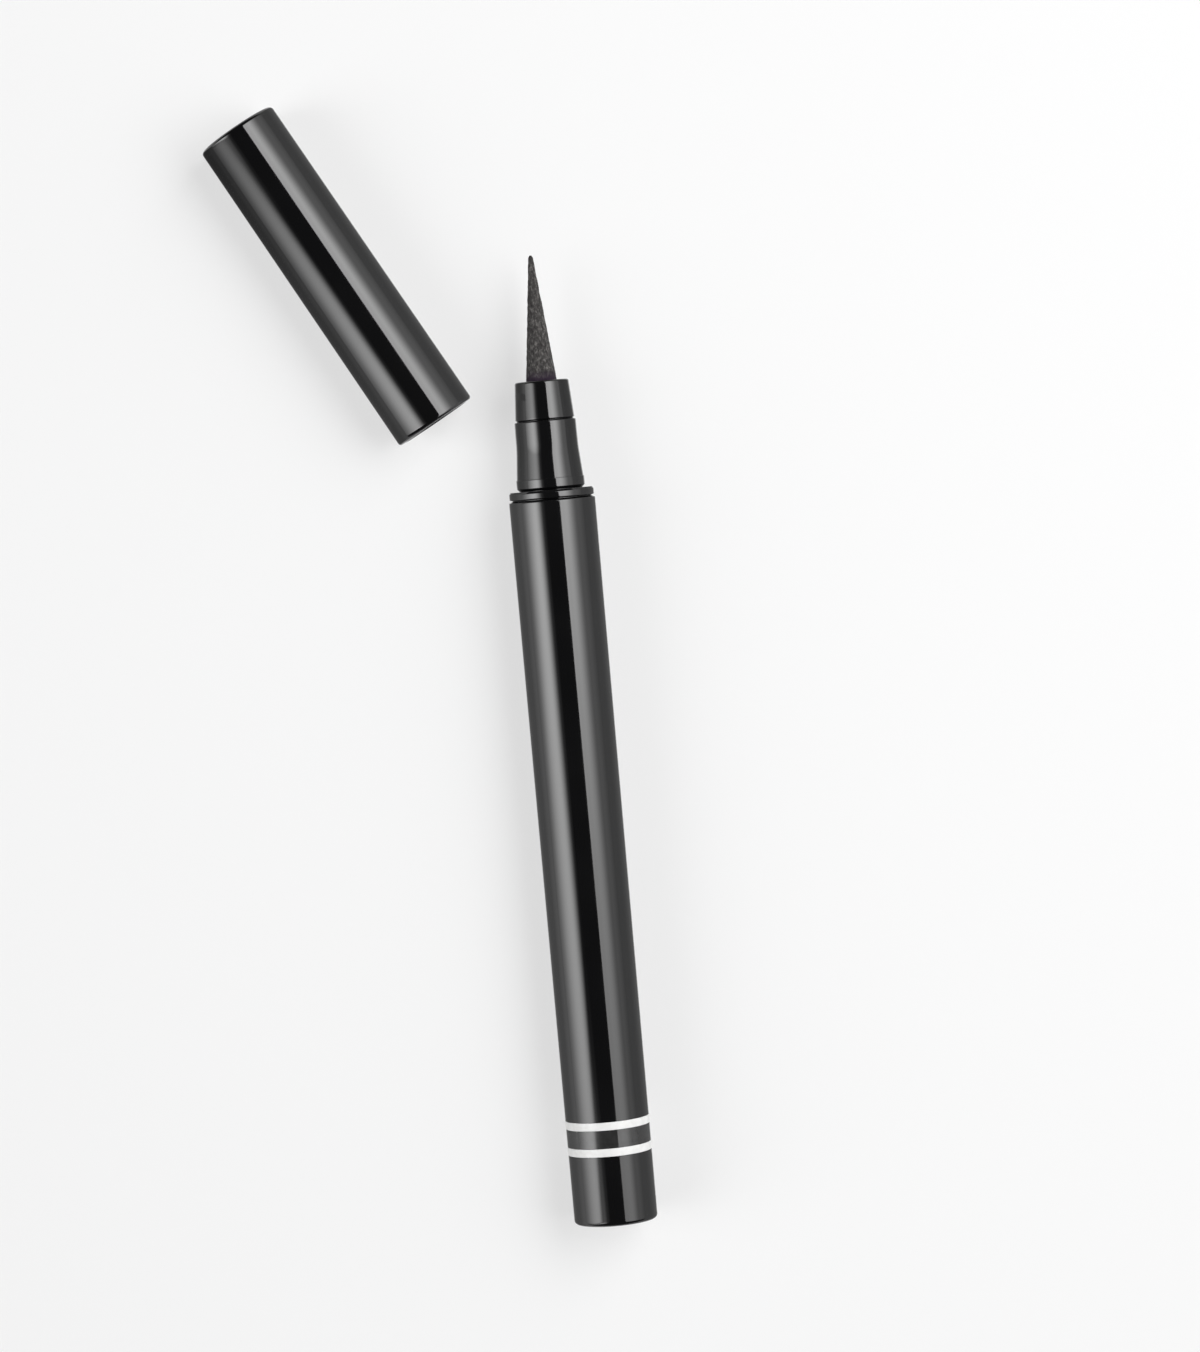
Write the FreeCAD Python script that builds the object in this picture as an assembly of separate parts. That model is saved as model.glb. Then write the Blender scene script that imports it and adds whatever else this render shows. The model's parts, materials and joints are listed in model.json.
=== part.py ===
import FreeCAD, Part
import math
import os

# Liquid eyeliner pen lying on its side, with its cap off beside it. Millimetres.
# The pen's axis is Y, with the nib towards +Y and Z up.
# The origin is the middle of the flat tail face.
# Radii are built from the wick outwards, so each piece fits round the one inside it.

# Fits
press_clearance = 0.05      # radial, between pieces pushed together for good
slip_clearance = 0.08       # radial, between the cap and the neck it slides on
loose_clearance = 0.1       # radial, round pieces that drop into place
ball_clearance = 0.05       # under the mixing ball, so that it rolls

# Wick, the fibre rod that carries ink from the tank to the nib
wick_radius = 1.0
wick_round = 0.3
wick_tank_reach = 2.0       # past the collector's tail end, into the tank
wick_socket_depth = 2.2     # into the back of the nib

# Nib, a felt cone on a straight shank
nib_socket_wall = 0.83
nib_shank_length = 8.6
nib_exposed_length = 15.35
nib_tip_radius = 0.24
nib_tip_round = 0.2

# Nozzle, the upper step of the neck, which grips the nib
nozzle_spigot_wall = 1.0
nozzle_spigot_length = 4.8
nozzle_length = 4.65
nozzle_draft = 0.325        # loss of radius from base to front
nozzle_front_round = 0.25
nozzle_step = 0.14          # how far its base stands in from the section
parting_gap = 0.43          # the groove between nozzle and section
parting_depth = 0.35

# Section, the lower step of the neck, whose spigot plugs into the barrel
section_wall = 0.785
section_front_length = 3.25
section_swell = 0.045       # gain of radius along the front length
section_front_round = 0.12
flare_length = 3.6
flare_lip = 0.08            # the land's edge above the foot of the flare
land_length = 1.13
land_round = 0.06
section_spigot_wall = 1.25
section_spigot_length = 8.8
spigot_stop_gap = 0.5       # between the spigot's end and the step inside the barrel
collector_stop_gap = 0.3    # between the collector's nose and the nozzle's spigot

# Collar ring, a rounded bead between the neck and the barrel
ring_stop = 0.38            # the section's land above its spigot
ring_lower_groove = 0.28
ring_bead_width = 0.95
ring_upper_groove = 0.3
ring_bead_inset = 0.1       # below the barrel's shoulder
ring_bead_round = 0.35
ring_lower_depth = 0.6      # of the groove beside the barrel
ring_upper_wall = 0.13      # of the hub under the groove beside the land

# Barrel, a moulded tube with a slight draft towards its tail
barrel_length = 89.2
barrel_front_wall = 1.45
barrel_draft = 0.15         # loss of radius from shoulder to tail
barrel_step = 0.45          # the main bore beyond the front bore
barrel_shoulder_round = 0.25
barrel_tail_round = 0.5

# White bands printed round the barrel
band_names = ("lower_band", "upper_band")
band_width = 0.98
band_pitch = 3.24
band_tail_distance = 8.65   # from the tail face to the lower band
band_recess = 0.1
band_film = 0.1             # thickness of one band
band_bed = 0.02             # clear space under and beside the film

# Tail plug, a cup pressed into the barrel
plug_length = 5.2
plug_floor = 1.6
plug_wall = 0.9
plug_round = 0.15

# Ink tank, a tube closed at the tail
tank_wall = 0.6
tank_floor = 0.8
tank_round = 0.4

# Collector, the finned feed that holds spare ink
collector_shaft_wall = 1.45
collector_plug_length = 8.0
collector_flange = 1.2
collector_nose_flange = 1.0
collector_core_wall = 1.1
fin_count = 15
fin_thickness = 0.5
fin_gap = 0.5
fin_inset = 0.15            # below the flanges

# Tank seal, an elastic ring in a groove of the collector's plug
seal_groove_depth = 0.85
seal_groove_width = 1.0
seal_groove_setback = 3.6   # from the flange to the groove
seal_squeeze_room = 0.02    # radial, each side of the ring

# Mixing ball
ball_radius = 2.0
ball_wick_gap = 0.2         # between the wick's end and the ball

# Cap
cap_length = 43.3
cap_draft = 0.125           # loss of radius from mouth to closed end
cap_end_wall = 1.8
cap_end_round = 0.5
cap_mouth_round = 0.4
cap_seat_gap = 0.05         # between the cap's mouth and the collar bead when it is on
cap_lead_in = 0.2           # chamfer inside the mouth

# Inner cap, the liner that seals round the nozzle
liner_wall = 0.35           # at its seat on the nozzle
liner_mouth_gap = 0.26      # from the section's front to the liner's mouth
liner_seal_gap = 0.12       # radial, round the nozzle
liner_chamber_gap = 0.72    # radial, round the nib
liner_front_gap = 0.3       # ahead of the nozzle's front
liner_tip_room = 2.0        # ahead of the nib's tip
liner_floor = 1.0
liner_round = 0.3

# Where the cap lies: its mouth beside the neck, its closed end turned away from the pen
cap_rest_aside = 13.34
cap_rest_ahead = 9.15       # its mouth, measured from the section's land
cap_rest_turn = 29.2        # degrees

# Radii, from the inside out
wick_bore = wick_radius + press_clearance
nib_radius = wick_bore + nib_socket_wall
nozzle_bore = nib_radius + press_clearance
nozzle_spigot_radius = nozzle_bore + nozzle_spigot_wall
section_front_bore = nozzle_spigot_radius + press_clearance
section_front_radius = section_front_bore + section_wall
section_waist_radius = section_front_radius + section_swell
nozzle_base_radius = section_front_radius - nozzle_step
nozzle_front_radius = nozzle_base_radius - nozzle_draft
nozzle_neck_radius = nozzle_base_radius - parting_depth
collector_shaft_radius = wick_bore + collector_shaft_wall
section_rear_bore = collector_shaft_radius + press_clearance
section_spigot_radius = section_rear_bore + section_spigot_wall
land_radius = section_spigot_radius + ring_stop
flare_foot_radius = land_radius - flare_lip
barrel_front_bore = section_spigot_radius + press_clearance
barrel_shoulder_radius = barrel_front_bore + barrel_front_wall
barrel_tail_radius = barrel_shoulder_radius - barrel_draft
barrel_main_bore = barrel_front_bore + barrel_step
plug_radius = barrel_main_bore - press_clearance
tank_radius = barrel_main_bore - loose_clearance
tank_bore = tank_radius - tank_wall
collector_plug_radius = tank_bore - press_clearance
collector_core_radius = wick_bore + collector_core_wall
fin_radius = tank_radius - fin_inset
cap_bore = land_radius + slip_clearance
cap_mouth_radius = barrel_shoulder_radius
cap_end_radius = cap_mouth_radius - cap_draft

# Places along the pen, from the tail to the tip
fin_pitch = fin_thickness + fin_gap
comb_length = fin_count * fin_pitch + fin_gap
front_bore_length = section_spigot_length + spigot_stop_gap
collector_nose = barrel_length - front_bore_length
comb_start = collector_nose - collector_nose_flange - comb_length
tank_mouth = comb_start - collector_flange
collector_tail = tank_mouth - collector_plug_length
land_start = barrel_length + ring_lower_groove + ring_bead_width + ring_upper_groove
flare_start = land_start + land_length
waist_start = flare_start + flare_length
section_front = waist_start + section_front_length
nozzle_start = section_front + parting_gap
nozzle_front = nozzle_start + nozzle_length
nozzle_tail = section_front - nozzle_spigot_length
nib_tail = nozzle_front - nib_shank_length
nib_tip = nozzle_front + nib_exposed_length
seal_groove_end = tank_mouth - seal_groove_setback
seal_groove_start = seal_groove_end - seal_groove_width

# Depths inside the cap, from its mouth, of what lies there when the cap is on
cap_seat = land_start - ring_upper_groove + cap_seat_gap
liner_mouth = section_front - cap_seat + liner_mouth_gap
liner_chamber = nozzle_front - cap_seat + liner_front_gap
liner_end = nib_tip - cap_seat + liner_tip_room + liner_floor


def spot(radius, along):
    return FreeCAD.Vector(radius, along, 0)


# A corner with a third number is rounded by a tangent arc of that radius.
def outline(corners):
    starts, ends, edges = [], [], []
    for index, corner in enumerate(corners):
        here = spot(corner[0], corner[1])
        before = corners[index - 1]
        after = corners[(index + 1) % len(corners)]
        back = (spot(before[0], before[1]) - here).normalize()
        ahead = (spot(after[0], after[1]) - here).normalize()
        if len(corner) < 3:
            starts.append(here)
            ends.append(here)
            continue
        half_turn = back.getAngle(ahead) / 2
        reach = corner[2] / math.tan(half_turn)
        sagitta = corner[2] / math.sin(half_turn) - corner[2]
        starts.append(here + back * reach)
        ends.append(here + ahead * reach)
        middle = here + (back + ahead).normalize() * sagitta
        edges.append(Part.Arc(starts[-1], middle, ends[-1]).toShape())
    for index in range(len(corners)):
        edges.append(Part.LineSegment(ends[index - 1], starts[index]).toShape())
    return Part.Wire(Part.__sortEdges__(edges))


# A solid of revolution about the pen's axis.
def turned(corners):
    face = Part.Face(outline(corners))
    return face.revolve(FreeCAD.Vector(0, 0, 0), FreeCAD.Vector(0, 1, 0), 360)


def barrel_radius_at(along):
    return barrel_tail_radius + barrel_draft * along / barrel_length


def band_start(index):
    return band_tail_distance + index * band_pitch


def make_wick():
    start = collector_tail - wick_tank_reach
    end = nib_tail + wick_socket_depth - press_clearance
    return turned([
        (0, start),
        (wick_radius, start, wick_round),
        (wick_radius, end, wick_round),
        (0, end),
    ])


def make_nib():
    socket_floor = nib_tail + wick_socket_depth
    return turned([
        (wick_bore, nib_tail),
        (nib_radius, nib_tail),
        (nib_radius, nozzle_front),
        (nib_tip_radius, nib_tip, nib_tip_round),
        (0, nib_tip),
        (0, socket_floor),
        (wick_bore, socket_floor),
    ])


def make_nozzle():
    return turned([
        (nozzle_bore, nozzle_tail),
        (nozzle_spigot_radius, nozzle_tail),
        (nozzle_spigot_radius, section_front),
        (nozzle_neck_radius, section_front),
        (nozzle_neck_radius, nozzle_start),
        (nozzle_base_radius, nozzle_start),
        (nozzle_front_radius, nozzle_front, nozzle_front_round),
        (nozzle_bore, nozzle_front),
    ])


def make_section():
    spigot_start = barrel_length - section_spigot_length
    bore_step = nozzle_tail - collector_stop_gap
    return turned([
        (section_rear_bore, spigot_start),
        (section_spigot_radius, spigot_start),
        (section_spigot_radius, land_start),
        (land_radius, land_start, land_round),
        (land_radius, flare_start, land_round),
        (flare_foot_radius, flare_start),
        (section_waist_radius, waist_start),
        (section_front_radius, section_front, section_front_round),
        (section_front_bore, section_front),
        (section_front_bore, bore_step),
        (section_rear_bore, bore_step),
    ])


def make_collar_ring():
    bore = section_spigot_radius + press_clearance
    bead_start = barrel_length + ring_lower_groove
    bead_end = bead_start + ring_bead_width
    bead_radius = barrel_shoulder_radius - ring_bead_inset
    lower_radius = bead_radius - ring_lower_depth
    upper_radius = bore + ring_upper_wall
    return turned([
        (bore, barrel_length),
        (lower_radius, barrel_length),
        (lower_radius, bead_start),
        (bead_radius, bead_start, ring_bead_round),
        (bead_radius, bead_end, ring_bead_round),
        (upper_radius, bead_end),
        (upper_radius, land_start),
        (bore, land_start),
    ])


# The bands' recesses are listed from the tail upwards along the outside.
def make_barrel():
    corners = [
        (barrel_main_bore, 0),
        (barrel_tail_radius, 0, barrel_tail_round),
    ]
    for index in range(len(band_names)):
        low = band_start(index) - band_bed
        high = band_start(index) + band_width + band_bed
        corners.append((barrel_radius_at(low), low))
        corners.append((barrel_radius_at(low) - band_recess, low))
        corners.append((barrel_radius_at(high) - band_recess, high))
        corners.append((barrel_radius_at(high), high))
    corners += [
        (barrel_shoulder_radius, barrel_length, barrel_shoulder_round),
        (barrel_front_bore, barrel_length),
        (barrel_front_bore, collector_nose),
        (barrel_main_bore, collector_nose),
    ]
    return turned(corners)


def make_band(index):
    low = band_start(index)
    high = low + band_width
    inset = band_recess - band_bed
    return turned([
        (barrel_radius_at(low) - inset, low),
        (barrel_radius_at(low) - inset + band_film, low),
        (barrel_radius_at(high) - inset + band_film, high),
        (barrel_radius_at(high) - inset, high),
    ])


def make_tail_plug():
    hollow = plug_radius - plug_wall
    return turned([
        (0, 0),
        (plug_radius, 0, plug_round),
        (plug_radius, plug_length),
        (hollow, plug_length),
        (hollow, plug_floor),
        (0, plug_floor),
    ])


def make_ink_tank():
    floor = plug_length + tank_floor
    return turned([
        (0, plug_length),
        (tank_radius, plug_length, tank_round),
        (tank_radius, tank_mouth),
        (tank_bore, tank_mouth),
        (tank_bore, floor, tank_round),
        (0, floor),
    ])


# The outside runs from the plug in the tank, past the seal's groove and the fins, to the nose.
def make_collector():
    groove_radius = collector_plug_radius - seal_groove_depth
    nose = nozzle_tail - collector_stop_gap
    corners = [
        (wick_bore, collector_tail),
        (collector_plug_radius, collector_tail),
        (collector_plug_radius, seal_groove_start),
        (groove_radius, seal_groove_start),
        (groove_radius, seal_groove_end),
        (collector_plug_radius, seal_groove_end),
        (collector_plug_radius, tank_mouth),
        (tank_radius, tank_mouth),
        (tank_radius, comb_start),
        (collector_core_radius, comb_start),
    ]
    for index in range(fin_count):
        low = comb_start + fin_gap + index * fin_pitch
        high = low + fin_thickness
        corners.append((collector_core_radius, low))
        corners.append((fin_radius, low))
        corners.append((fin_radius, high))
        corners.append((collector_core_radius, high))
    comb_end = comb_start + comb_length
    corners += [
        (collector_core_radius, comb_end),
        (tank_radius, comb_end),
        (tank_radius, collector_nose),
        (collector_shaft_radius, collector_nose),
        (collector_shaft_radius, nose),
        (wick_bore, nose),
    ]
    return turned(corners)


def make_tank_seal():
    groove_radius = collector_plug_radius - seal_groove_depth
    ring_radius = (tank_bore - groove_radius) / 2 - seal_squeeze_room
    middle_radius = (tank_bore + groove_radius) / 2
    centre = FreeCAD.Vector(0, (seal_groove_start + seal_groove_end) / 2, 0)
    return Part.makeTorus(middle_radius, ring_radius, centre, FreeCAD.Vector(0, 1, 0))


def make_mixing_ball():
    drop = tank_bore - ball_radius - ball_clearance
    along = collector_tail - wick_tank_reach - ball_wick_gap - ball_radius
    return Part.makeSphere(ball_radius, FreeCAD.Vector(0, along, -drop))


# The cap's pieces are turned with the mouth at zero, then laid down beside the pen.
def laid_beside(shape):
    shape.rotate(FreeCAD.Vector(0, 0, 0), FreeCAD.Vector(0, 0, 1), cap_rest_turn)
    shape.translate(FreeCAD.Vector(-cap_rest_aside, land_start + cap_rest_ahead, 0))
    return shape


def make_cap_shell():
    floor = cap_length - cap_end_wall
    return laid_beside(turned([
        (cap_bore + cap_lead_in, 0),
        (cap_mouth_radius, 0, cap_mouth_round),
        (cap_end_radius, cap_length, cap_end_round),
        (0, cap_length),
        (0, floor),
        (cap_bore, floor),
        (cap_bore, cap_lead_in),
    ]))


def make_inner_cap():
    outside = cap_bore - press_clearance
    seat_base = nozzle_base_radius + liner_seal_gap
    seat_front = nozzle_front_radius + liner_seal_gap
    chamber = nib_radius + liner_chamber_gap
    floor = liner_end - liner_floor
    return laid_beside(turned([
        (seat_base, liner_mouth),
        (outside, liner_mouth),
        (outside, liner_chamber),
        (chamber + liner_wall, liner_chamber + liner_wall),
        (chamber + liner_wall, liner_end, liner_round),
        (0, liner_end),
        (0, floor),
        (chamber, floor, liner_round),
        (chamber, liner_chamber),
        (seat_front, liner_chamber - liner_front_gap),
    ]))


def make_pieces():
    pieces = {
        "barrel": make_barrel(),
        "tail_plug": make_tail_plug(),
        "ink_tank": make_ink_tank(),
        "mixing_ball": make_mixing_ball(),
        "tank_seal": make_tank_seal(),
        "collector": make_collector(),
        "wick": make_wick(),
        "collar_ring": make_collar_ring(),
        "section": make_section(),
        "nozzle": make_nozzle(),
        "nib": make_nib(),
        "cap_shell": make_cap_shell(),
        "inner_cap": make_inner_cap(),
    }
    for index, name in enumerate(band_names):
        pieces[name] = make_band(index)
    return pieces


def main():
    os.makedirs("parts", exist_ok=True)
    for name, shape in make_pieces().items():
        shape.exportStep("parts/" + name + ".step")
        print(name, shape.ShapeType, shape.isValid(), round(shape.Volume, 3), shape.BoundBox)


main()
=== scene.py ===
import json
import math

import bmesh
import bpy
from mathutils import Matrix, Vector, noise


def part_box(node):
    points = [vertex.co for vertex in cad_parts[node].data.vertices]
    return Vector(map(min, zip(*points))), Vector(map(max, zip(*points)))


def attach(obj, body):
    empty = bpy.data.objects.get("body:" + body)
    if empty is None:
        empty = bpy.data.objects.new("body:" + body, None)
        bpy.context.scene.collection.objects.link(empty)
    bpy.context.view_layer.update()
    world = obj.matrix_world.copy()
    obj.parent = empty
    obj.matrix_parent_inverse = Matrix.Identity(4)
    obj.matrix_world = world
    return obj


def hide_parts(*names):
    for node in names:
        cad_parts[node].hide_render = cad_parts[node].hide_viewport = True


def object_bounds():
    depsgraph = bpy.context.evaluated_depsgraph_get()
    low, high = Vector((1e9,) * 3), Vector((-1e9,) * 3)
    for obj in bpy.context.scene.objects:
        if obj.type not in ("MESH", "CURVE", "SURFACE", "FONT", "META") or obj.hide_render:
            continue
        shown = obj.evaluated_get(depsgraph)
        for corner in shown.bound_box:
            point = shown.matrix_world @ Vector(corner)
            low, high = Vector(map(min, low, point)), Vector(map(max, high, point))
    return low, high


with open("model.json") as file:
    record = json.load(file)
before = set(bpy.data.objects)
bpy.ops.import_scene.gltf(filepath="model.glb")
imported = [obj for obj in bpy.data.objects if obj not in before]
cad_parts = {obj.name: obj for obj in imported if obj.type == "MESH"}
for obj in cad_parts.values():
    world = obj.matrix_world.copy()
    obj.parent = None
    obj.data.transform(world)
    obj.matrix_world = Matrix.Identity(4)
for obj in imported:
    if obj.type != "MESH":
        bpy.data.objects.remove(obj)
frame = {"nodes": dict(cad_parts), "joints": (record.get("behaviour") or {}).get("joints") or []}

scene = bpy.context.scene
cadLow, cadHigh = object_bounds()  # the solids' box, before any piece is made here
mm = 0.001                     # the scene is in metres, the sizes below in millimetres
mixFactor, mixFirst, mixSecond, mixResult = 0, 6, 7, 2  # a Mix node's sockets when it mixes colours


def hexColour(text):  # sRGB hex to linear
    channels = [int(text[i:i + 2], 16) / 255 for i in (1, 3, 5)]
    linear = [c / 12.92 if c <= 0.04045 else ((c + 0.055) / 1.055) ** 2.4 for c in channels]
    return (*linear, 1.0)


def addNode(tree, kind, settings=None, links=None):
    node = tree.nodes.new(kind)
    for key, value in (settings or {}).items():
        if key == "stops":  # (position, hex colour) along a colour ramp
            elements = node.color_ramp.elements
            while len(elements) < len(value):
                elements.new(1.0)
            for element, (position, colour) in zip(elements, value):
                element.position = position
                element.color = hexColour(colour)
        elif isinstance(key, int) or key in node.inputs:
            node.inputs[key].default_value = value
        else:
            setattr(node, key, value)
    for key, source in (links or {}).items():
        tree.links.new(source, node.inputs[key])
    return node


def newMaterial(name):
    material = bpy.data.materials.new(name)
    material.use_nodes = True
    material.node_tree.nodes.clear()
    return material, material.node_tree


# Black ABS, injection moulded in a polished tool: deep black, with mirror highlights that bend a trifle
# where the wall has sunk, and a trace of haze from handling.
def makePolishedAbs():
    look = {"colours": [(0.35, "#080809"), (0.75, "#0d0d0e")],  # clean, then hazed
            "hazeSize": 9.0, "hazeRange": (0.3, 0.7), "roughness": (0.05, 0.085), "ior": 1.65,
            "sinkSize": 3.5, "sinkDepth": 0.002}
    material, tree = newMaterial("polishedAbs")
    place = addNode(tree, "ShaderNodeTexCoord")
    haze = addNode(tree, "ShaderNodeTexNoise", {"Scale": 1 / (look["hazeSize"] * mm), "Detail": 4.0},
                   {"Vector": place.outputs["Object"]})
    colour = addNode(tree, "ShaderNodeValToRGB", {"stops": look["colours"]}, {"Fac": haze.outputs[0]})
    dulling = addNode(tree, "ShaderNodeMapRange",
                      {"From Min": look["hazeRange"][0], "From Max": look["hazeRange"][1],
                       "To Min": look["roughness"][0], "To Max": look["roughness"][1]},
                      {"Value": haze.outputs[0]})
    sink = addNode(tree, "ShaderNodeTexNoise", {"Scale": 1 / (look["sinkSize"] * mm), "Detail": 1.0},
                   {"Vector": place.outputs["Object"]})
    relief = addNode(tree, "ShaderNodeBump", {"Distance": look["sinkDepth"] * mm},
                     {"Height": sink.outputs[0]})
    shader = addNode(tree, "ShaderNodeBsdfPrincipled", {"IOR": look["ior"]},
                     {"Base Color": colour.outputs[0], "Roughness": dulling.outputs[0],
                      "Normal": relief.outputs[0]})
    addNode(tree, "ShaderNodeOutputMaterial", links={"Surface": shader.outputs[0]})
    return material


# White enamel ink, screen printed: an even, slightly satin white with a faint mesh mark in the film.
# The mesh is really about 0.1 mm, and is drawn coarser so that it shows.
def makeWhitePrint():
    look = {"colours": [(0.3, "#eeeeec"), (0.55, "#f6f6f5")],  # where the film is thin, and where it is full
            "ior": 1.5, "roughness": 0.32, "mottleSize": 0.8, "meshSize": 0.25, "meshDepth": 0.004}
    material, tree = newMaterial("screenPrintedWhite")
    place = addNode(tree, "ShaderNodeTexCoord")
    mottle = addNode(tree, "ShaderNodeTexNoise", {"Scale": 1 / (look["mottleSize"] * mm), "Detail": 3.0},
                     {"Vector": place.outputs["Object"]})
    colour = addNode(tree, "ShaderNodeValToRGB", {"stops": look["colours"]}, {"Fac": mottle.outputs[0]})
    weave = addNode(tree, "ShaderNodeTexNoise", {"Scale": 1 / (look["meshSize"] * mm), "Detail": 0.0},
                    {"Vector": place.outputs["Object"]})
    relief = addNode(tree, "ShaderNodeBump", {"Distance": look["meshDepth"] * mm},
                     {"Height": weave.outputs[0]})
    shader = addNode(tree, "ShaderNodeBsdfPrincipled", {"IOR": look["ior"], "Roughness": look["roughness"]},
                     {"Base Color": colour.outputs[0], "Normal": relief.outputs[0]})
    addNode(tree, "ShaderNodeOutputMaterial", links={"Surface": shader.outputs[0]})
    return material


# Dark grey ink, screen printed between the white bands: as glossy as the barrel, over a charcoal that is
# a little lighter than the moulding.
def makeGreyPrint():
    look = {"colours": [(0.35, "#292929"), (0.6, "#303030")],  # where the film is thin, and where it is full
            "ior": 1.65, "roughness": 0.07, "mottleSize": 0.8}
    material, tree = newMaterial("screenPrintedGrey")
    place = addNode(tree, "ShaderNodeTexCoord")
    mottle = addNode(tree, "ShaderNodeTexNoise", {"Scale": 1 / (look["mottleSize"] * mm), "Detail": 3.0},
                     {"Vector": place.outputs["Object"]})
    colour = addNode(tree, "ShaderNodeValToRGB", {"stops": look["colours"]}, {"Fac": mottle.outputs[0]})
    shader = addNode(tree, "ShaderNodeBsdfPrincipled", {"IOR": look["ior"], "Roughness": look["roughness"]},
                     {"Base Color": colour.outputs[0]})
    addNode(tree, "ShaderNodeOutputMaterial", links={"Surface": shader.outputs[0]})
    return material


# Polyester felt, bonded and ground to a cone: matte and speckled where the fibres are cut across, the
# speckle holding painted shade and a painted highlight too. It is a darker violet brown where it leaves the
# nozzle, and darker again towards the tip.
# A fibre is really about 0.02 mm, and the speckle is drawn coarser so that it shows.
def makeGroundFelt(base, tip):  # where the felt leaves the nozzle, and where it ends
    look = {"colours": [(0.3, "#222020"), (0.5, "#3f3d3c"), (0.72, "#73706e")],  # hollow with painted shade, fibre, cut end with a painted highlight
            "roughness": 0.95, "fibreSize": 0.26, "fibreStretch": 0.5, "cloudSize": 1.6, "reliefDepth": 0.04,
            "baseDark": "#26142b", "baseDarkLength": 1.0, "baseDarkShares": (0.55, 2.0), "baseDarkStrength": 0.95,
            "tipDark": "#2b2929", "tipDarkLength": 0.9, "tipDarkStrength": 0.8}
    material, tree = newMaterial("groundFelt")
    place = addNode(tree, "ShaderNodeTexCoord")
    lay = addNode(tree, "ShaderNodeMapping", {"Scale": (1.0, look["fibreStretch"], 1.0)},
                  {"Vector": place.outputs["Object"]})
    fibres = addNode(tree, "ShaderNodeTexNoise",
                     {"Scale": 1 / (look["fibreSize"] * mm), "Detail": 3.0, "Roughness": 0.65},
                     {"Vector": lay.outputs[0]})
    cloud = addNode(tree, "ShaderNodeTexNoise", {"Scale": 1 / (look["cloudSize"] * mm), "Detail": 2.0},
                    {"Vector": place.outputs["Object"]})
    # The speckle follows the noise that also lifts the relief: the felt's own mottle, with painted shade in
    # the hollows and a painted highlight on the raised cut ends.
    speckleAndShade = addNode(tree, "ShaderNodeValToRGB", {"stops": look["colours"]}, {"Fac": fibres.outputs[0]})
    along = addNode(tree, "ShaderNodeSeparateXYZ", links={"Vector": place.outputs["Object"]})
    # Darker violet brown from where the felt leaves the nozzle, fading out along it with a ragged edge
    ragged = addNode(tree, "ShaderNodeMath", {"operation": "MULTIPLY_ADD", 1: look["baseDarkLength"] * mm},
                     {0: cloud.outputs[0], 2: along.outputs["Y"]})
    baseDarkStart, baseDarkEnd = [base + share * look["baseDarkLength"] for share in look["baseDarkShares"]]
    baseDarkAmount = addNode(tree, "ShaderNodeMapRange",
                   {"From Min": baseDarkStart * mm, "From Max": baseDarkEnd * mm,
                    "To Min": look["baseDarkStrength"], "To Max": 0.0},
                   {"Value": ragged.outputs[0]})
    baseDark = addNode(tree, "ShaderNodeMix", {"data_type": "RGBA", mixSecond: hexColour(look["baseDark"])},
                     {mixFactor: baseDarkAmount.outputs[0], mixFirst: speckleAndShade.outputs[0]})
    # Darker towards the tip
    tipDarkAmount = addNode(tree, "ShaderNodeMapRange",
                   {"From Min": (tip - look["tipDarkLength"]) * mm, "From Max": tip * mm,
                    "To Min": 0.0, "To Max": look["tipDarkStrength"]},
                   {"Value": along.outputs["Y"]})
    colour = addNode(tree, "ShaderNodeMix", {"data_type": "RGBA", mixSecond: hexColour(look["tipDark"])},
                     {mixFactor: tipDarkAmount.outputs[0], mixFirst: baseDark.outputs[mixResult]})
    relief = addNode(tree, "ShaderNodeBump", {"Distance": look["reliefDepth"] * mm},
                     {"Height": fibres.outputs[0]})
    shader = addNode(tree, "ShaderNodeBsdfPrincipled", {"Roughness": look["roughness"]},
                     {"Base Color": colour.outputs[mixResult], "Normal": relief.outputs[0]})
    addNode(tree, "ShaderNodeOutputMaterial", links={"Surface": shader.outputs[0]})
    return material


# A moulded, drawn or ground piece inside: one colour that drifts a little, over a fine surface grain.
def makeInnerFinish(look):
    material, tree = newMaterial(look["finish"])
    place = addNode(tree, "ShaderNodeTexCoord")
    lay = addNode(tree, "ShaderNodeMapping", {"Scale": (1.0, look["stretch"], 1.0)},
                  {"Vector": place.outputs["Object"]})
    grain = addNode(tree, "ShaderNodeTexNoise", {"Scale": 1 / (look["grainSize"] * mm), "Detail": 3.0},
                    {"Vector": lay.outputs[0]})
    colour = addNode(tree, "ShaderNodeValToRGB", {"stops": look["colours"]}, {"Fac": grain.outputs[0]})
    relief = addNode(tree, "ShaderNodeBump", {"Distance": look["grainDepth"] * mm},
                     {"Height": grain.outputs[0]})
    surface = {"Metallic": look["metallic"], "Roughness": look["roughness"]}
    if "ior" in look:  # a metal keeps the default
        surface["IOR"] = look["ior"]
    shader = addNode(tree, "ShaderNodeBsdfPrincipled", surface,
                     {"Base Color": colour.outputs[0], "Normal": relief.outputs[0]})
    addNode(tree, "ShaderNodeOutputMaterial", links={"Surface": shader.outputs[0]})
    return material


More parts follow.
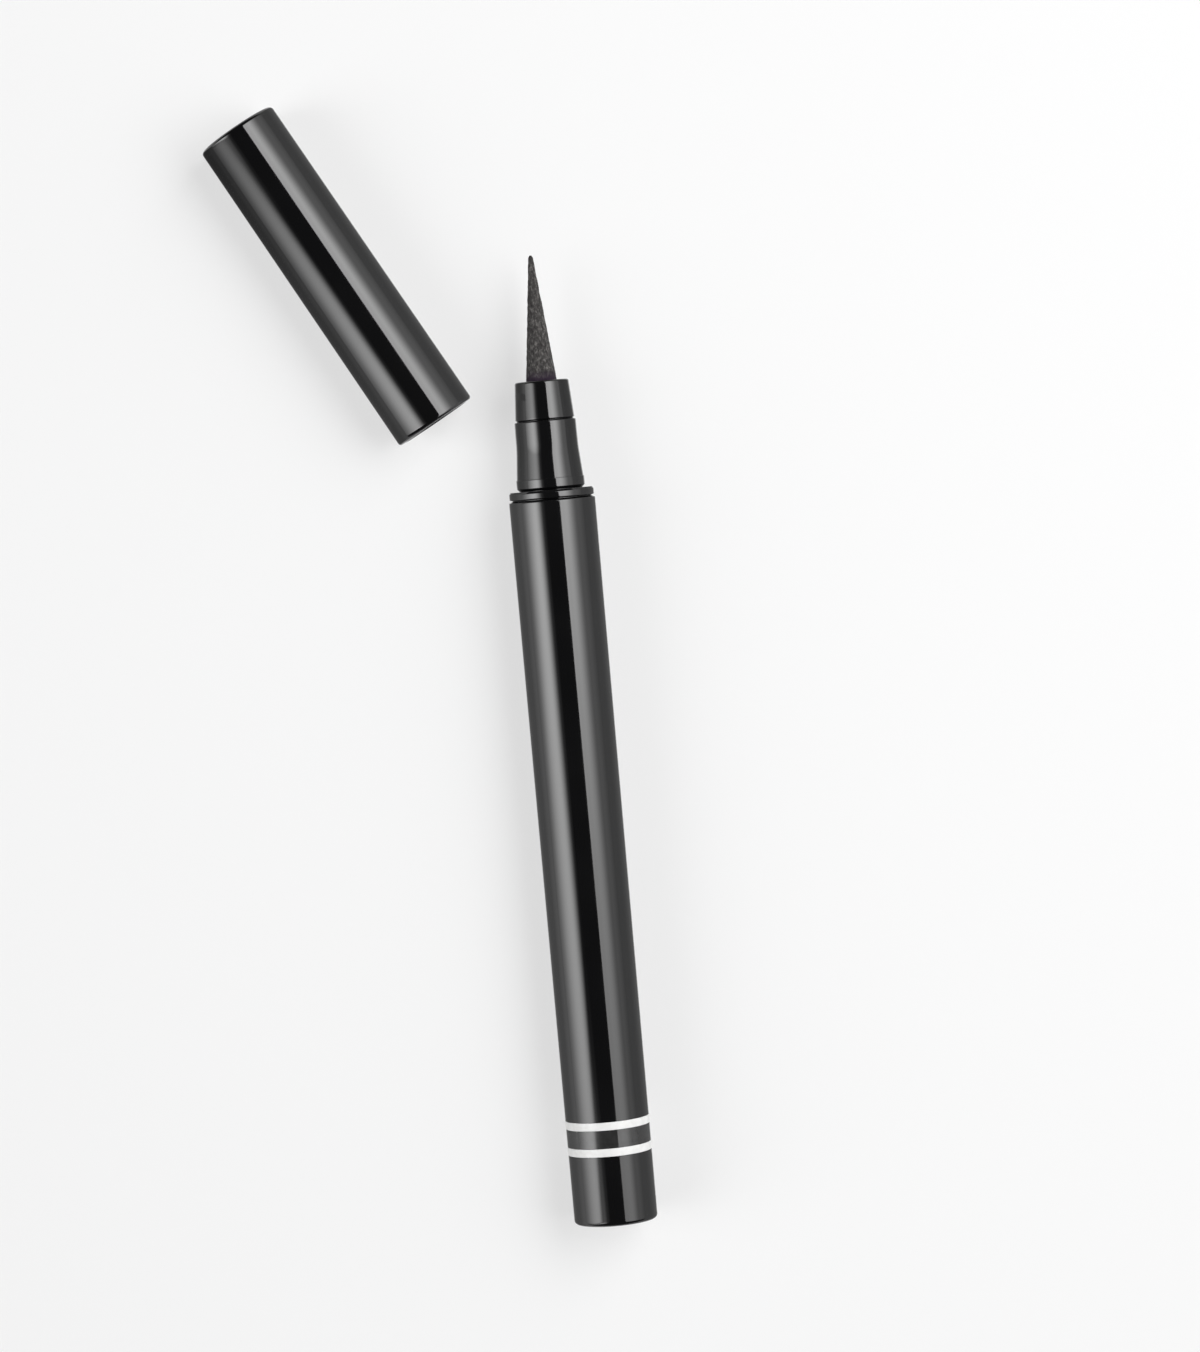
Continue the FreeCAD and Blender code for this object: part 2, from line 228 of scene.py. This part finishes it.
# Corners of a turned outline are (radius, along) in millimetres, and a third number rounds the corner.
# A guard ring beside each corner keeps the shading of a long run flat.
def roundedOutline(corners):
    arc = {"step": math.radians(9), "guard": 0.15, "guardsInRun": 3}
    stretches = []
    for i, corner in enumerate(corners):
        here = Vector(corner[:2])
        if len(corner) < 3:
            stretches.append([here])
            continue
        back = (Vector(corners[i - 1][:2]) - here).normalized()
        ahead = (Vector(corners[(i + 1) % len(corners)][:2]) - here).normalized()
        half = back.angle(ahead) / 2
        centre = here + (back + ahead).normalized() * corner[2] / math.sin(half)
        spoke = here + back * corner[2] / math.tan(half) - centre
        arrival = here + ahead * corner[2] / math.tan(half) - centre
        sweep = math.copysign(math.pi - 2 * half, spoke.x * arrival.y - spoke.y * arrival.x)
        count = max(2, math.ceil(abs(sweep) / arc["step"]))
        stretches.append([centre + Matrix.Rotation(sweep * k / count, 2) @ spoke for k in range(count + 1)])
    points = []
    for i, stretch in enumerate(stretches):
        points += stretch
        start, end = stretch[-1], stretches[(i + 1) % len(stretches)][0]
        run = end - start
        if run.length > arc["guardsInRun"] * arc["guard"] and max(start.x, end.x) > 0:
            points += [start + run.normalized() * arc["guard"], end - run.normalized() * arc["guard"]]
    return points


def turnedMesh(name, corners, around):  # a closed outline turned about the Y axis
    edge = {"onAxis": 1e-9, "sharp": math.radians(32)}  # a point's radius, and a hard edge's angle
    shape = bmesh.new()
    rings = []
    for point in roundedOutline(corners):
        radius, along = max(point.x, 0.0) * mm, point.y * mm
        count = around if radius > edge["onAxis"] else 1
        turns = [math.tau * k / around for k in range(count)]
        rings.append([shape.verts.new((radius * math.cos(a), along, radius * math.sin(a))) for a in turns])
    for low, high in zip(rings, rings[1:] + rings[:1]):
        for k in range(around):
            quad = [low[k % len(low)], low[(k + 1) % len(low)],
                    high[(k + 1) % len(high)], high[k % len(high)]]
            distinct = list(dict.fromkeys(quad))
            if len(distinct) > 2:
                shape.faces.new(distinct)
    bmesh.ops.recalc_face_normals(shape, faces=shape.faces)
    mesh = bpy.data.meshes.new(name)
    shape.to_mesh(mesh)
    shape.free()
    mesh.shade_smooth()
    mesh.set_sharp_from_angle(angle=edge["sharp"])
    return mesh


def addPiece(mesh, node, body, slot, *finishes):
    piece = bpy.data.objects.new(mesh.name, mesh)
    scene.collection.objects.link(piece)
    for finish in finishes:
        mesh.materials.append(finish)
    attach(piece, body)
    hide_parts(node)


def reach(node):  # where a node starts and ends along the pen, and its largest radius
    low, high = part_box(node)
    return low.y / mm, high.y / mm, high.x / mm


polishedAbs = makePolishedAbs()
whitePrint = makeWhitePrint()
greyPrint = makeGreyPrint()
print("finishes of the outside made")

# Barrel, with the recesses for its printed bands and a slanted end that keeps the groove above it dark
barrel = {"draft": 0.15, "tailRound": 0.5, "shoulderRound": 0.14, "shoulderDrop": 0.05, "lipSlant": 0.2,
          "lipBore": 4.85, "mainBore": 4.3, "frontBore": 3.85, "frontBoreLength": 9.3,
          "recess": 0.1, "bed": 0.02, "boreMargin": 1.05, "around": 256}
barrelStart, barrelEnd, shoulderRadius = reach("barrel")


def barrelRadius(along):
    return shoulderRadius - barrel["draft"] * (barrelEnd - along) / (barrelEnd - barrelStart)


def barrelCorners():
    corners = [(barrel["mainBore"], barrelStart),
               (barrelRadius(barrelStart), barrelStart, barrel["tailRound"])]
    for node in ("lower_band", "upper_band"):
        bandStart, bandEnd, _ = reach(node)
        low, high = bandStart - barrel["bed"], bandEnd + barrel["bed"]
        corners += [(barrelRadius(low), low), (barrelRadius(low) - barrel["recess"], low),
                    (barrelRadius(high) - barrel["recess"], high), (barrelRadius(high), high)]
    shoulder = barrelEnd - barrel["shoulderDrop"]
    boreStep = barrelEnd - barrel["frontBoreLength"]
    return corners + [
        (shoulderRadius, shoulder, barrel["shoulderRound"]),
        (barrel["lipBore"], shoulder + barrel["lipSlant"]), (barrel["lipBore"], barrelEnd),
        (barrel["frontBore"], barrelEnd),
        (barrel["frontBore"], boreStep), (barrel["mainBore"], boreStep)]


barrelMesh = turnedMesh("polished_barrel", barrelCorners(), barrel["around"])
addPiece(barrelMesh, "barrel", "pen", "black_gloss", polishedAbs, greyPrint)
stripeStart, stripeEnd = reach("lower_band")[1] * mm, reach("upper_band")[0] * mm
boreReach = barrel["mainBore"] * mm * barrel["boreMargin"]
for face in barrelMesh.polygons:  # the grey print goes on the outside between the bands
    if math.hypot(face.center.x, face.center.z) > boreReach and stripeStart < face.center.y < stripeEnd:
        face.material_index = 1

# White bands, a thin film with soft edges
band = {"film": 0.1, "edgeRound": 0.03, "around": 256}
for node, name in (("lower_band", "lower_print"), ("upper_band", "upper_print")):
    start, end, radius = reach(node)
    slope = barrelRadius(end) - barrelRadius(start)
    corners = [(radius - slope - band["film"], start), (radius - slope, start, band["edgeRound"]),
               (radius, end, band["edgeRound"]), (radius - band["film"], end)]
    addPiece(turnedMesh(name, corners, band["around"]), node, "pen", "white_print", whitePrint)
print("barrel and bands made")

# Tail plug, a cup with the small sunk gate mark of its moulding
plug = {"edgeRound": 0.15, "wall": 0.9, "floor": 1.6, "gateRadius": 0.9, "gateDepth": 0.15,
        "gateRound": 0.12, "around": 192}


def gateMark(gate, face, sunk):  # from the middle of an end face outwards, sunk being where its floor lies
    return [(0, sunk), (gate["gateRadius"], sunk, gate["gateRound"] / 2),
            (gate["gateRadius"] + gate["gateDepth"], face, gate["gateRound"])]


start, end, radius = reach("tail_plug")
corners = gateMark(plug, start, start + plug["gateDepth"]) + [
    (radius, start, plug["edgeRound"]), (radius, end), (radius - plug["wall"], end),
    (radius - plug["wall"], start + plug["floor"]), (0, start + plug["floor"])]
addPiece(turnedMesh("tail_closure", corners, plug["around"]), "tail_plug", "pen", "black_gloss", polishedAbs)

# Collar ring, a bead between two dark grooves, bevelled on its upper side
collar = {"bore": 3.85, "hub": 4.83, "hubLength": 0.18, "beadStart": 0.28, "beadEnd": 1.23,
          "lowerRound": 0.14, "bevelLength": 0.24, "bevelDepth": 0.165, "bevelRound": 0.1,
          "rimRound": 0.03, "around": 256}
start, collarEnd, radius = reach("collar_ring")
beadStart, beadEnd = start + collar["beadStart"], start + collar["beadEnd"]
corners = [(collar["bore"], start), (collar["hub"], start), (collar["hub"], start + collar["hubLength"]),
           (radius, beadStart, collar["lowerRound"]),
           (radius, beadEnd - collar["bevelLength"], collar["bevelRound"]),
           (radius - collar["bevelDepth"], beadEnd, collar["rimRound"]), (collar["bore"], beadEnd)]
addPiece(turnedMesh("polished_collar", corners, collar["around"]), "collar_ring", "pen", "black_gloss",
         polishedAbs)

# Section, the lower step of the neck: a slanted foot, a land, a flare and a nearly straight waist
section = {"spigotRadius": 3.8, "landGap": 0.02, "footSlant": 0.31, "footLength": 0.34, "footRound": 0.05,
           "landLength": 1.13, "landRound": 0.07, "lip": 0.08, "flareLength": 3.6, "flareRound": 14.0,
           "waistRadius": 3.81, "frontRadius": 3.765, "frontGain": 0.14, "frontRound": 0.1,
           "frontSlant": 0.13, "frontBore": 2.98, "rearBore": 2.55, "boreStep": 5.1, "neckBore": 3.47,
           "around": 256}
start, neckSeat, radius = reach("section")
landStart, landEnd = beadEnd + section["landGap"], collarEnd + section["landLength"]
sectionFront = neckSeat + section["frontGain"]
boreStep = neckSeat - section["boreStep"]
corners = [(section["rearBore"], start), (section["spigotRadius"], start),
           (section["spigotRadius"], landStart), (radius - section["footSlant"], landStart),
           (radius, landStart + section["footLength"], section["footRound"]),
           (radius, landEnd, section["landRound"]), (radius - section["lip"], landEnd),
           (section["waistRadius"], landEnd + section["flareLength"], section["flareRound"]),
           (section["frontRadius"], sectionFront, section["frontRound"]),
           (section["neckBore"], sectionFront + section["frontSlant"]), (section["neckBore"], neckSeat),
           (section["frontBore"], neckSeat), (section["frontBore"], boreStep),
           (section["rearBore"], boreStep)]
addPiece(turnedMesh("polished_section", corners, section["around"]), "section", "pen", "black_gloss",
         polishedAbs)

# Nozzle, the upper step of the neck, with a fine parting groove at its foot
nozzle = {"bore": 1.93, "boreRound": 0.08, "spigotRadius": 2.93, "parting": 0.3, "neckDepth": 0.195,
          "footSlant": 0.15, "footRound": 0.06, "draft": 0.325, "frontRound": 0.25, "around": 256}
start, nozzleFront, radius = reach("nozzle")
foot = sectionFront + nozzle["parting"]
neckRadius = radius - nozzle["neckDepth"]
corners = [(nozzle["bore"], start), (nozzle["spigotRadius"], start), (nozzle["spigotRadius"], neckSeat),
           (neckRadius, neckSeat), (neckRadius, foot - nozzle["footSlant"]),
           (radius, foot, nozzle["footRound"]),
           (radius - nozzle["draft"], nozzleFront, nozzle["frontRound"]),
           (nozzle["bore"], nozzleFront, nozzle["boreRound"])]
addPiece(turnedMesh("polished_nozzle", corners, nozzle["around"]), "nozzle", "pen", "black_gloss",
         polishedAbs)
print("neck made")

# Nib, a felt cone whose ground surface is uneven
nib = {"socketRadius": 1.05, "socketDepth": 2.2, "tipRadius": 0.29, "tipRound": 0.3, "dome": 0.28,
       "crown": 0.12, "row": 0.14, "grain": 0.3, "grainStretch": 0.6, "grainDepth": 0.035, "lump": 1.3,
       "lumpDepth": 0.035, "settle": 0.5, "thinRadius": 0.5, "axisRadius": 0.01, "around": 112}
nibStart, nibEnd, nibRadius = reach("nib")


def nibCorners():
    cone = nibEnd - nib["dome"] - nozzleFront
    rows = round(cone / nib["row"])
    socketEnd = nibStart + nib["socketDepth"]
    corners = [(nib["socketRadius"], nibStart), (nibRadius, nibStart)]
    for k in range(rows):
        corners.append((nibRadius + (nib["tipRadius"] - nibRadius) * k / rows,
                        nozzleFront + cone * k / rows))
    return corners + [(nib["tipRadius"], nibEnd - nib["dome"], nib["tipRound"]),
                      (nib["crown"], nibEnd, nib["crown"] / 2), (0, nibEnd),
                      (0, socketEnd), (nib["socketRadius"], socketEnd)]


def roughenNib(mesh):
    for vertex in mesh.vertices:
        p = vertex.co / mm
        radius = math.hypot(p.x, p.z)
        bare = min(1.0, (p.y - nozzleFront) / nib["settle"])  # nothing moves where the nozzle grips it
        if bare <= 0 or radius < nib["axisRadius"]:
            continue
        fine = noise.noise(Vector((p.x, p.y * nib["grainStretch"], p.z)) / nib["grain"])
        broad = noise.noise(p / nib["lump"])
        thin = min(1.0, radius / nib["thinRadius"])  # less of it towards the tip
        push = bare * (fine * nib["grainDepth"] + broad * nib["lumpDepth"]) * thin
        vertex.co.x += p.x / radius * push * mm
        vertex.co.z += p.z / radius * push * mm


nibMesh = turnedMesh("felt_nib", nibCorners(), nib["around"])
roughenNib(nibMesh)
addPiece(nibMesh, "nib", "pen", "felt", makeGroundFelt(nozzleFront, nibEnd))
print("nib made")

# Cap, made with its mouth at zero and then laid where the solids put it
cap = {"bore": 4.26, "leadIn": 0.2, "mouthRound": 0.4, "mouthRadius": 5.3, "endRadius": 5.175,
       "endRound": 0.5, "endWall": 1.8, "crown": 0.12, "crownShares": (0.7, 0.4), "gateRadius": 0.8,
       "gateDepth": 0.12, "gateRound": 0.1, "around": 256}


def capLay():  # the cap's own frame, and its length
    swing = next(joint for joint in frame["joints"] if joint["name"] == "cap_swing")
    turn = math.radians(swing["range_deg"][1])
    along = Vector((-math.sin(turn), math.cos(turn), 0))
    across = Vector((math.cos(turn), math.sin(turn), 0))
    points = [vertex.co for vertex in frame["nodes"]["cap_shell"].data.vertices]
    depths, sides = [p.dot(along) for p in points], [p.dot(across) for p in points]
    mouth = along * min(depths) + across * (min(sides) + max(sides)) / 2
    return Matrix.Translation(mouth) @ Matrix.Rotation(turn, 4, "Z"), (max(depths) - min(depths)) / mm


def capCorners(length):
    boreEnd = length - cap["endWall"]
    wall = [(cap["bore"] + cap["leadIn"], 0), (cap["mouthRadius"], 0, cap["mouthRound"]),
            (cap["endRadius"], length - cap["crown"], cap["endRound"])]
    crown = [(cap["endRadius"] * share, length - cap["crown"] * share ** 2) for share in cap["crownShares"]]
    bore = [(0, boreEnd), (cap["bore"], boreEnd), (cap["bore"], cap["leadIn"])]
    return wall + crown + gateMark(cap, length, length - cap["gateDepth"])[::-1] + bore


lay, capLength = capLay()
capMesh = turnedMesh("polished_cap", capCorners(capLength), cap["around"])
capMesh.transform(lay)
addPiece(capMesh, "cap_shell", "cap", "black_gloss", polishedAbs)
print("cap made, length", round(capLength, 2))

# The pieces inside keep their solids' shape. Colours drift from the first to the second.
innerPieces = {
    # polypropylene, blown: milky, waxy, with soft flow marks
    "ink_tank": {"finish": "blownPolypropylene", "colours": [(0.3, "#d3d6d4"), (0.7, "#e2e4e2")],
                 "metallic": 0.0, "ior": 1.49, "roughness": 0.38,
                 "grainSize": 2.5, "stretch": 0.3, "grainDepth": 0.01},
    # acetal, moulded: opaque off-white, satin
    "collector": {"finish": "mouldedAcetal", "colours": [(0.3, "#d6d7d2"), (0.7, "#e3e3de")],
                  "metallic": 0.0, "ior": 1.48, "roughness": 0.45,
                  "grainSize": 0.4, "stretch": 1.0, "grainDepth": 0.006},
    # polyester fibre, bonded into a rod: streaks along it, drawn coarser than the fibres so that they show
    "wick": {"finish": "bondedPolyester", "colours": [(0.3, "#b9b4aa"), (0.7, "#dedad0")],
             "metallic": 0.0, "ior": 1.5, "roughness": 0.95,
             "grainSize": 0.15, "stretch": 0.05, "grainDepth": 0.03},
    # nitrile rubber, moulded: dull black with a fine bloom
    "tank_seal": {"finish": "mouldedNitrile", "colours": [(0.3, "#161616"), (0.7, "#242424")],
                  "metallic": 0.0, "ior": 1.52, "roughness": 0.75,
                  "grainSize": 0.2, "stretch": 1.0, "grainDepth": 0.006},
    # bearing steel, ground: bright, with hardly any grain
    "mixing_ball": {"finish": "groundSteel", "colours": [(0.3, "#b4b4b6"), (0.7, "#c6c6c8")],
                    "metallic": 1.0, "roughness": 0.16,
                    "grainSize": 0.3, "stretch": 1.0, "grainDepth": 0.001},
    # low density polyethylene, moulded: dark grey and waxy
    "inner_cap": {"finish": "mouldedPolyethylene", "colours": [(0.3, "#2a2a2c"), (0.7, "#353537")],
                  "metallic": 0.0, "ior": 1.51, "roughness": 0.42,
                  "grainSize": 0.5, "stretch": 1.0, "grainDepth": 0.006},
}
for node, look in innerPieces.items():
    mesh = frame["nodes"][node].data
    mesh.materials.clear()
    mesh.materials.append(makeInnerFinish(look))
print("inner pieces finished")

# Floor, a plain white sheet: size, near and far in metres. It shows more of its own light
# from near to far, where the lamps don't reach, and keeps the shadow close to the pen.
floor = {"white": "#f1f1f1", "glow": "#ffffff", "size": 6.0, "near": 0.12, "far": 0.5,
         "ownLight": 0.58, "farLight": 0.93}


def makeFloor():
    material, tree = newMaterial("whiteFloor")
    sheet = addNode(tree, "ShaderNodeBsdfDiffuse", {"Color": hexColour(floor["white"])})
    glow = addNode(tree, "ShaderNodeEmission", {"Color": hexColour(floor["glow"]), "Strength": 1.0})
    rays = addNode(tree, "ShaderNodeLightPath")
    seen = addNode(tree, "ShaderNodeMath", {"operation": "ADD"},
                   {0: rays.outputs["Is Camera Ray"], 1: rays.outputs["Is Glossy Ray"]})
    shown = addNode(tree, "ShaderNodeMath", {"operation": "ADD", "use_clamp": True},
                    {0: seen.outputs[0], 1: rays.outputs["Is Transmission Ray"]})
    place = addNode(tree, "ShaderNodeTexCoord")
    away = addNode(tree, "ShaderNodeVectorMath", {"operation": "LENGTH"}, {0: place.outputs["Object"]})
    ownLight = addNode(tree, "ShaderNodeMapRange",
                       {"interpolation_type": "SMOOTHSTEP", "From Min": floor["near"],
                        "From Max": floor["far"], "To Min": floor["ownLight"], "To Max": floor["farLight"]},
                       {"Value": away.outputs["Value"]})
    share = addNode(tree, "ShaderNodeMath", {"operation": "MULTIPLY"},
                    {0: shown.outputs[0], 1: ownLight.outputs[0]})
    blend = addNode(tree, "ShaderNodeMixShader",
                    links={0: share.outputs[0], 1: sheet.outputs[0], 2: glow.outputs[0]})
    addNode(tree, "ShaderNodeOutputMaterial", links={"Surface": blend.outputs[0]})
    mesh = bpy.data.meshes.new("floor")
    half = floor["size"] / 2
    mesh.from_pydata([(-half, -half, 0), (half, -half, 0), (half, half, 0), (-half, half, 0)],
                     [], [(0, 1, 2, 3)])
    mesh.materials.append(material)
    plane = bpy.data.objects.new("floor", mesh)
    plane.location = ((cadLow.x + cadHigh.x) / 2, (cadLow.y + cadHigh.y) / 2, cadLow.z)
    scene.collection.objects.link(plane)


# Softboxes: inner and outer edge as (degrees from overhead, distance), with the brightness across and along.
# Each is turned about the vertical at a place along the pen, and low and high are measured from there.
# outerFade is how much of the change along is left towards the outer edge.
softboxes = {
    # brightest near its inner edge, and dimmer towards the tail
    "rightSoftbox": {"side": 1, "inner": (20.5, 600), "outer": (90, 430), "pivot": 42, "turn": 19.8,
                     "low": -310, "high": 300, "power": 5.6, "outerFade": 0.35, "blend": "EASE",
                     "across": [(0.15, "#f7f7f7"), (0.3, "#ffffff"), (0.72, "#818181"), (1.0, "#676767")],
                     "along": [(0.0, "#a2a2a2"), (0.16, "#acacac"), (0.28, "#c8c8c8"), (0.44, "#ffffff"),
                               (0.87, "#ffffff"), (1.0, "#3a3a3a")]},
    # brightest along its middle; the cap shows its first quarter, the barrel most, the nozzle its far end
    "leftSoftbox": {"side": -1, "inner": (18, 3000), "outer": (90, 2150), "pivot": 0, "turn": 23,
                    "low": -100, "high": 1335, "power": 6.0, "outerFade": 1.0, "blend": "EASE",
                    "across": [(0.0, "#202020"), (0.13, "#404040"), (0.47, "#ffffff"), (1.0, "#808080")],
                    "along": [(0.02, "#ffffff"), (0.21, "#6c6c6c"), (0.27, "#d0d0d0"), (0.56, "#ffffff"),
                              (0.76, "#e6e6e6"), (0.85, "#c0c0c0"), (1.0, "#d4d4d4")]},
}
panelFade = {"start": 0.35, "end": 0.75}  # shares of a panel's width between which outerFade sets in


def makePanel(name, place, width, length, look):  # width along the panel's own X, length along its Y
    material, tree = newMaterial(name)
    coords = addNode(tree, "ShaderNodeTexCoord")
    spot = addNode(tree, "ShaderNodeSeparateXYZ", links={"Vector": coords.outputs["Object"]})
    across = addNode(tree, "ShaderNodeMapRange", {"From Min": 0.0, "From Max": width},
                     {"Value": spot.outputs["X"]})
    along = addNode(tree, "ShaderNodeMapRange", {"From Min": 0.0, "From Max": length},
                    {"Value": spot.outputs["Y"]})
    acrossRamp = addNode(tree, "ShaderNodeValToRGB", {"stops": look["across"]}, {"Fac": across.outputs[0]})
    acrossRamp.color_ramp.interpolation = look["blend"]
    alongRamp = addNode(tree, "ShaderNodeValToRGB", {"stops": look["along"]}, {"Fac": along.outputs[0]})
    fade = addNode(tree, "ShaderNodeMapRange",
                   {"From Min": panelFade["start"], "From Max": panelFade["end"],
                    "To Min": 1.0, "To Max": look["outerFade"]},
                   {"Value": across.outputs[0]})
    colour = addNode(tree, "ShaderNodeMix", {"data_type": "RGBA", "blend_type": "MULTIPLY"},
                     {mixFactor: fade.outputs[0], mixFirst: acrossRamp.outputs[0],
                      mixSecond: alongRamp.outputs[0]})
    glow = addNode(tree, "ShaderNodeEmission", {"Strength": look["power"]},
                   {"Color": colour.outputs[mixResult]})
    addNode(tree, "ShaderNodeOutputMaterial", links={"Surface": glow.outputs[0]})
    mesh = bpy.data.meshes.new(name)
    mesh.from_pydata([(0, 0, 0), (width, 0, 0), (width, length, 0), (0, length, 0)], [], [(0, 1, 2, 3)])
    mesh.materials.append(material)
    panel = bpy.data.objects.new(name, mesh)
    panel.matrix_world = place
    panel.visible_camera = False
    scene.collection.objects.link(panel)
    return panel


def facing(outward):  # a panel's own X outward and its Y along the pen
    upward = Vector((0, 1, 0))
    return Matrix((outward, upward, outward.cross(upward))).transposed().to_4x4()


def makeSoftbox(name, box):
    edges = []
    for angle, distance in (box["inner"], box["outer"]):
        lean = math.radians(angle)
        edges.append(Vector((box["side"] * math.sin(lean), 0, math.cos(lean))) * distance * mm)
    outward = edges[1] - edges[0]
    pivot = Matrix.Translation((0, box["pivot"] * mm, 0))
    swivel = pivot @ Matrix.Rotation(math.radians(box["turn"]), 4, "Z")
    corner = Matrix.Translation(edges[0] + Vector((0, box["low"] * mm, 0)))
    makePanel(name, swivel @ corner @ facing(outward.normalized()), outward.length,
              (box["high"] - box["low"]) * mm, box)


# Flags: grey cards that stand on the floor close along both sides of the pen and of the cap. Only the gloss
# sees them, and they hold its edges dark. Their brightness is given from the floor upwards, and the cap's
# left one darkens towards the closed end.
flags = {"gap": 1.7, "high": 3.8, "power": 1.0, "outerFade": 1.0, "blend": "LINEAR",
         "pen": (-4.0, 178.0), "cap": (-1.5, 45.0),
         "left": [(0.36, "#909090"), (0.56, "#979797"), (0.78, "#c0c0c0"), (0.93, "#fafafa")],
         "right": [(0.36, "#959595"), (0.56, "#a4a4a4"), (0.78, "#b0b0b0"), (0.93, "#c4c4c4")],
         "even": [(0.0, "#ffffff"), (1.0, "#ffffff")],
         "fades": {"capLeft": [(0.09, "#d6d6d6"), (0.49, "#c2c2c2"), (0.9, "#9c9c9c")]}}


def makeFlags(owner, base):  # base is where the owner's axis starts and how it lies
    start, end = flags[owner]
    foot = cadLow.z / mm
    for side, ramp in ((-1, "left"), (1, "right")):
        name = owner + ramp.capitalize()
        look = {**flags, "across": flags[ramp], "along": flags["fades"].get(name, flags["even"])}
        corner = Vector((side * (shoulderRadius + flags["gap"]), start, foot)) * mm
        flag = makePanel(name + "Flag", base @ Matrix.Translation(corner) @ facing(Vector((0, 0, 1))),
                         (flags["high"] - foot) * mm, (end - start) * mm, look)
        flag.visible_diffuse = False
        flag.visible_shadow = False


# Room: dark overhead, for the dark streak between the highlights, and a little lighter at the horizon
room = {"stops": [(0.0, "#545454"), (0.5, "#414141"), (1.0, "#3a3a3a")]}


def makeRoom():
    world = bpy.data.worlds.new("studio")
    world.use_nodes = True
    tree = world.node_tree
    tree.nodes.clear()
    place = addNode(tree, "ShaderNodeTexCoord")
    height = addNode(tree, "ShaderNodeSeparateXYZ", links={"Vector": place.outputs["Generated"]})
    colour = addNode(tree, "ShaderNodeValToRGB", {"stops": room["stops"]}, {"Fac": height.outputs["Z"]})
    glow = addNode(tree, "ShaderNodeBackground", {"Strength": 1.0}, {"Color": colour.outputs[0]})
    addNode(tree, "ShaderNodeOutputWorld", links={"Surface": glow.outputs[0]})
    scene.world = world


# Camera, nearly overhead
view = {"lens": 138.46, "sensor": 36.0, "place": (6.5, 95.96, 637.48), "tilt": -2.6, "turn": -5.07}


def makeCamera():
    camera = bpy.data.cameras.new("camera")
    camera.lens = view["lens"]
    camera.sensor_width = view["sensor"]
    holder = bpy.data.objects.new("camera", camera)
    holder.location = Vector(view["place"]) * mm
    holder.rotation_euler = (math.radians(view["tilt"]), 0, math.radians(view["turn"]))
    scene.collection.objects.link(holder)
    scene.camera = holder


makeFloor()
for name, box in softboxes.items():
    makeSoftbox(name, box)
makeFlags("pen", Matrix())
makeFlags("cap", lay)
makeRoom()
makeCamera()
scene.view_settings.view_transform = "Standard"
scene.cycles.use_denoising = True
print("stage, light and camera made")
